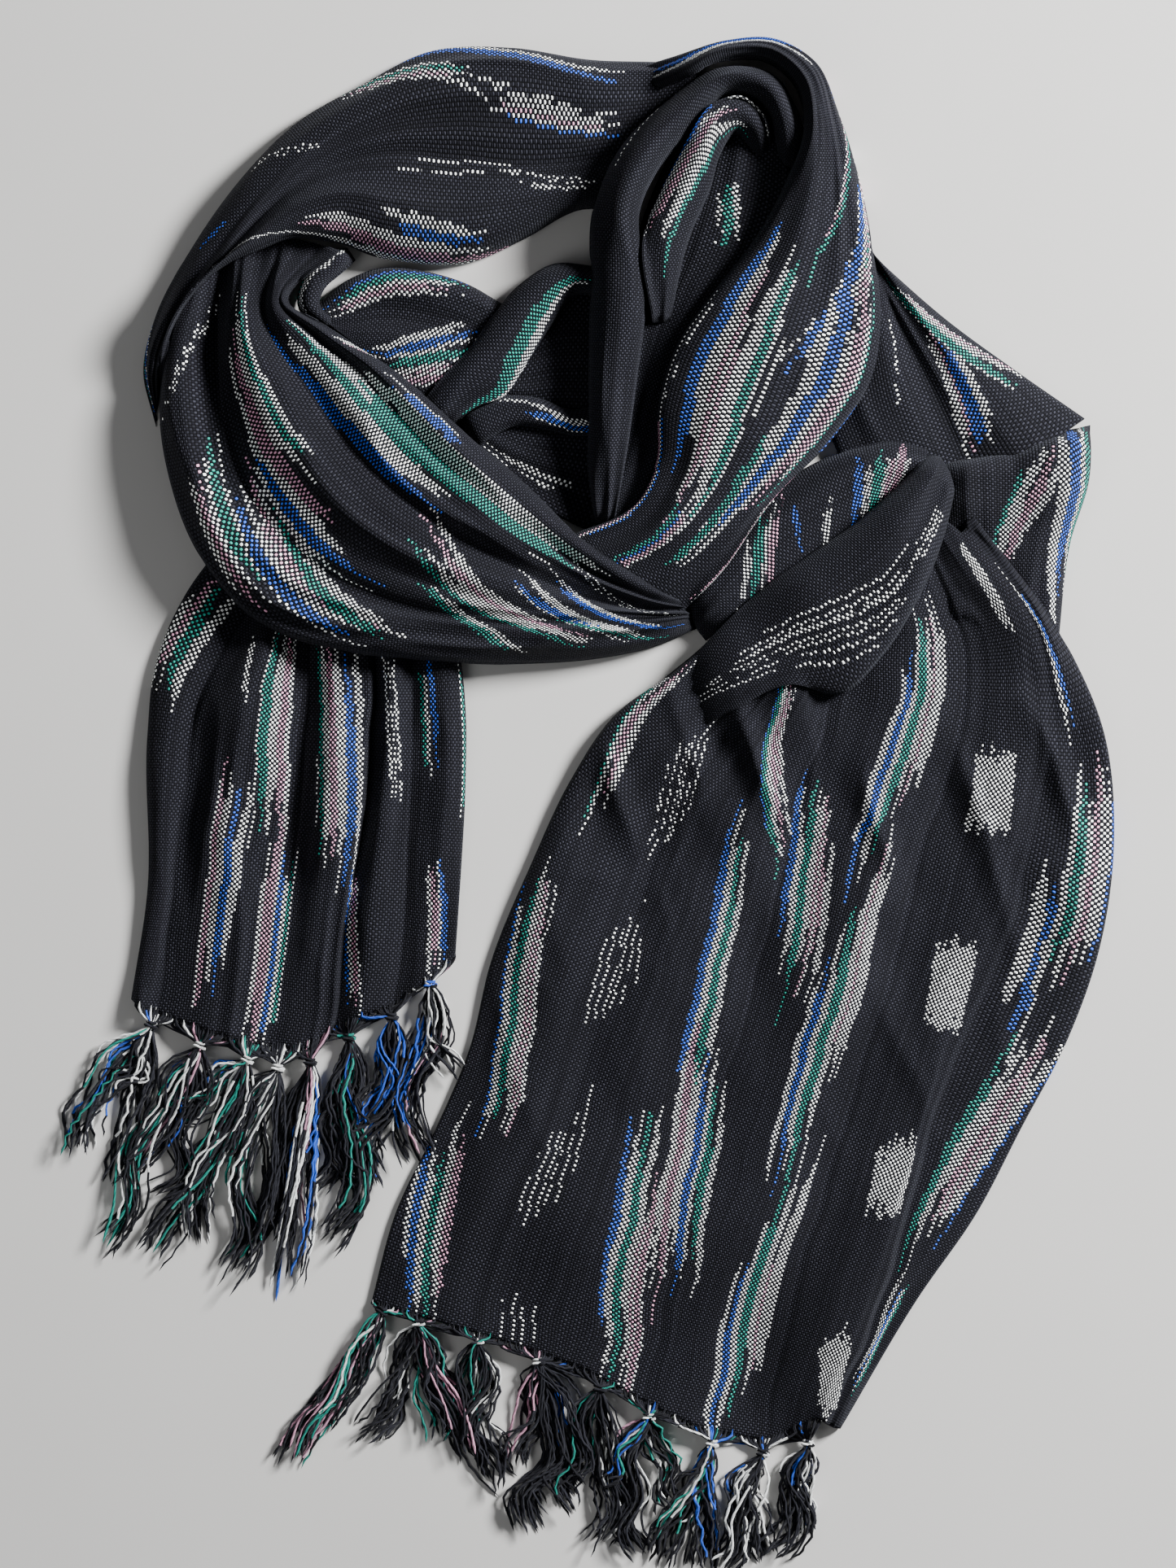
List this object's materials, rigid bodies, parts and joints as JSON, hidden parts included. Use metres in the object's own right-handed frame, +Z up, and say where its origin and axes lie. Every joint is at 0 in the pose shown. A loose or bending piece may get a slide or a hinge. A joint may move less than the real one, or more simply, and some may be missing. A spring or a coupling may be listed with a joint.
{
  "type": "rebozo shawl",
  "caption": "Long woven shawl with ikat warp stripes, laid on a surface in a loose loop with both knotted fringes brought out in front.",
  "frame": {"origin": "centre of the bottom of the shawl's box, on the surface that it lies on", "axes": "+Z up from the surface, +Y from the fringes towards the loop, +X to the right in the picture"},
  "size_m": [0.5118, 0.7508, 0.0434],
  "materials": {
    "cotton_left_tail": "plain-woven black cotton with ikat warp stripes",
    "cotton_right_tail": "plain-woven black cotton with ikat warp stripes",
    "cotton_lower_band": "plain-woven black cotton with ikat warp stripes",
    "cotton_top_arc": "plain-woven black cotton with ikat warp stripes",
    "cotton_right_arc": "plain-woven black cotton with ikat warp stripes",
    "cotton_hump_roll": "plain-woven black cotton with ikat warp stripes",
    "cotton_hump_patch": "plain-woven black cotton with ikat warp stripes",
    "cotton_inner_slope": "plain-woven black cotton with ikat warp stripes",
    "cotton_inner_bed": "plain-woven black cotton with ikat warp stripes",
    "cotton_inner_leaf": "plain-woven black cotton with ikat warp stripes",
    "cotton_inner_roll": "plain-woven black cotton with ikat warp stripes",
    "cotton_inner_hem": "plain-woven black cotton with ikat warp stripes",
    "cotton_inner_loop": "plain-woven black cotton with ikat warp stripes",
    "cotton_far_band": "plain-woven black cotton with ikat warp stripes",
    "cotton_shoulder": "plain-woven black cotton with ikat warp stripes",
    "cotton_neck": "plain-woven black cotton with ikat warp stripes",
    "cotton_hood": "plain-woven black cotton with ikat warp stripes",
    "yarn_01": "loose cotton warp ends",
    "yarn_02": "loose cotton warp ends",
    "yarn_03": "loose cotton warp ends",
    "yarn_04": "loose cotton warp ends",
    "yarn_05": "loose cotton warp ends",
    "yarn_06": "loose cotton warp ends",
    "yarn_07": "loose cotton warp ends",
    "yarn_08": "loose cotton warp ends",
    "yarn_09": "loose cotton warp ends",
    "yarn_10": "loose cotton warp ends",
    "yarn_11": "loose cotton warp ends",
    "yarn_12": "loose cotton warp ends",
    "yarn_13": "loose cotton warp ends",
    "yarn_14": "loose cotton warp ends",
    "yarn_15": "loose cotton warp ends",
    "yarn_16": "loose cotton warp ends"
  },
  "bodies": {
    "root": {"left_tail": "cotton_left_tail", "right_tail": "cotton_right_tail", "lower_band": "cotton_lower_band", "top_arc": "cotton_top_arc", "right_arc": "cotton_right_arc", "hump_roll": "cotton_hump_roll", "hump_patch": "cotton_hump_patch", "inner_slope": "cotton_inner_slope", "inner_bed": "cotton_inner_bed", "inner_leaf": "cotton_inner_leaf", "inner_roll": "cotton_inner_roll", "inner_hem": "cotton_inner_hem", "inner_loop": "cotton_inner_loop", "far_band": "cotton_far_band", "shoulder": "cotton_shoulder", "neck": "cotton_neck", "hood": "cotton_hood", "right_tail_tassel_01": "yarn_01", "right_tail_tassel_02": "yarn_02", "right_tail_tassel_03": "yarn_03", "right_tail_tassel_04": "yarn_04", "right_tail_tassel_05": "yarn_05", "right_tail_tassel_06": "yarn_06", "right_tail_tassel_07": "yarn_07", "right_tail_tassel_08": "yarn_08", "left_tail_tassel_09": "yarn_09", "left_tail_tassel_10": "yarn_10", "left_tail_tassel_11": "yarn_11", "left_tail_tassel_12": "yarn_12", "left_tail_tassel_13": "yarn_13", "left_tail_tassel_14": "yarn_14", "left_tail_tassel_15": "yarn_15", "left_tail_tassel_16": "yarn_16"}
  },
  "joints": []
}
